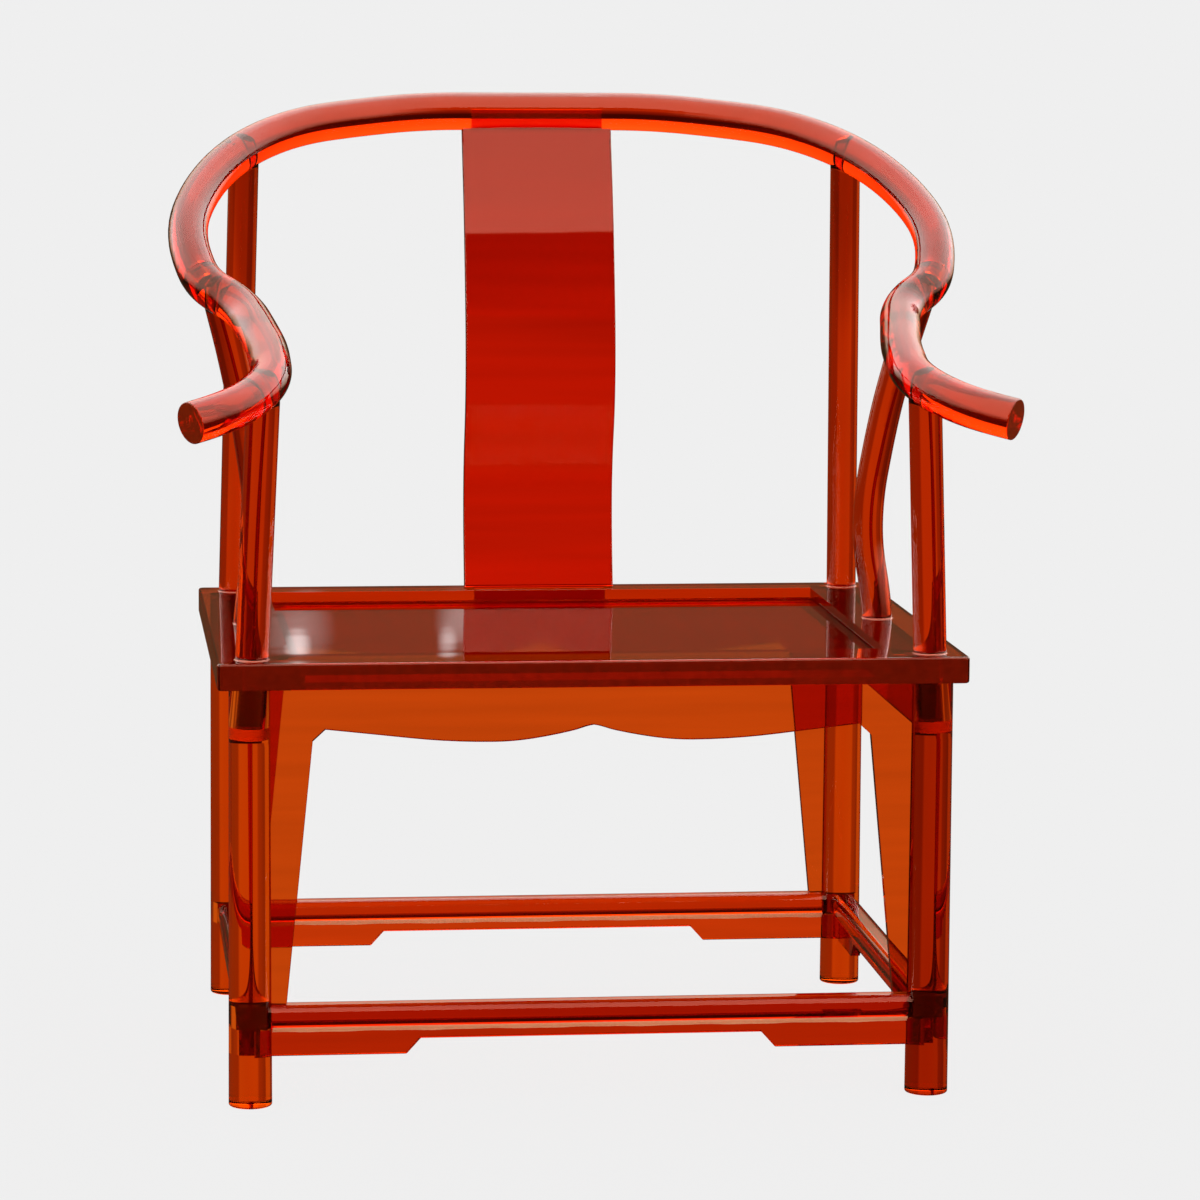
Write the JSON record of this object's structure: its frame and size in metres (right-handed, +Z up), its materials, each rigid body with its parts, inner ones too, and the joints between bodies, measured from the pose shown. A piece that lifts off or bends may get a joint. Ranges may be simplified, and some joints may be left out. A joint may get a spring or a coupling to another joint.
{
  "type": "armchair",
  "caption": "Horseshoe back armchair of clear tinted resin, with a round crest rail that sweeps down into flared arms, a curved splat and a square seat on round legs.",
  "frame": {"origin": "on the floor, under the middle of the chair's overall width and depth", "axes": "+Z up, +X to the right as seen from the front, the sitter faces -Y"},
  "size_m": [0.819, 0.7032, 0.9815],
  "materials": {
    "rail_resin": "clear tinted cast resin, polished, no marks",
    "splat_resin": "clear tinted cast resin, polished, no marks",
    "post_resin": "clear tinted cast resin, polished, no marks",
    "panel_resin": "clear tinted cast resin, polished, no marks",
    "seat_resin": "clear tinted cast resin, polished, no marks",
    "leg_resin": "clear tinted cast resin, polished, no marks",
    "apron_resin": "clear tinted cast resin, polished, no marks",
    "stretcher_resin": "clear tinted cast resin, polished, no marks"
  },
  "bodies": {
    "root": {"back_splat": "splat_resin", "crest_rail_arm_left": "rail_resin", "crest_rail_arm_right": "rail_resin", "crest_rail_back": "rail_resin", "crest_rail_dowel_left": "rail_resin", "crest_rail_dowel_right": "rail_resin", "front_apron": "apron_resin", "front_post_left": "post_resin", "front_post_right": "post_resin", "front_stretcher": "stretcher_resin", "front_stretcher_strip": "stretcher_resin", "leg_front_left": "leg_resin", "leg_front_right": "leg_resin", "leg_rear_left": "leg_resin", "leg_rear_right": "leg_resin", "rear_apron": "apron_resin", "rear_post_left": "post_resin", "rear_post_right": "post_resin", "rear_stretcher": "stretcher_resin", "rear_stretcher_strip": "stretcher_resin", "seat_front_rail": "seat_resin", "seat_panel": "panel_resin", "seat_rear_rail": "seat_resin", "seat_side_rail_left": "seat_resin", "seat_side_rail_right": "seat_resin", "side_apron_left": "apron_resin", "side_apron_right": "apron_resin", "side_post_left": "post_resin", "side_post_right": "post_resin", "side_stretcher_left": "stretcher_resin", "side_stretcher_right": "stretcher_resin", "side_stretcher_strip_left": "stretcher_resin", "side_stretcher_strip_right": "stretcher_resin"}
  },
  "joints": []
}
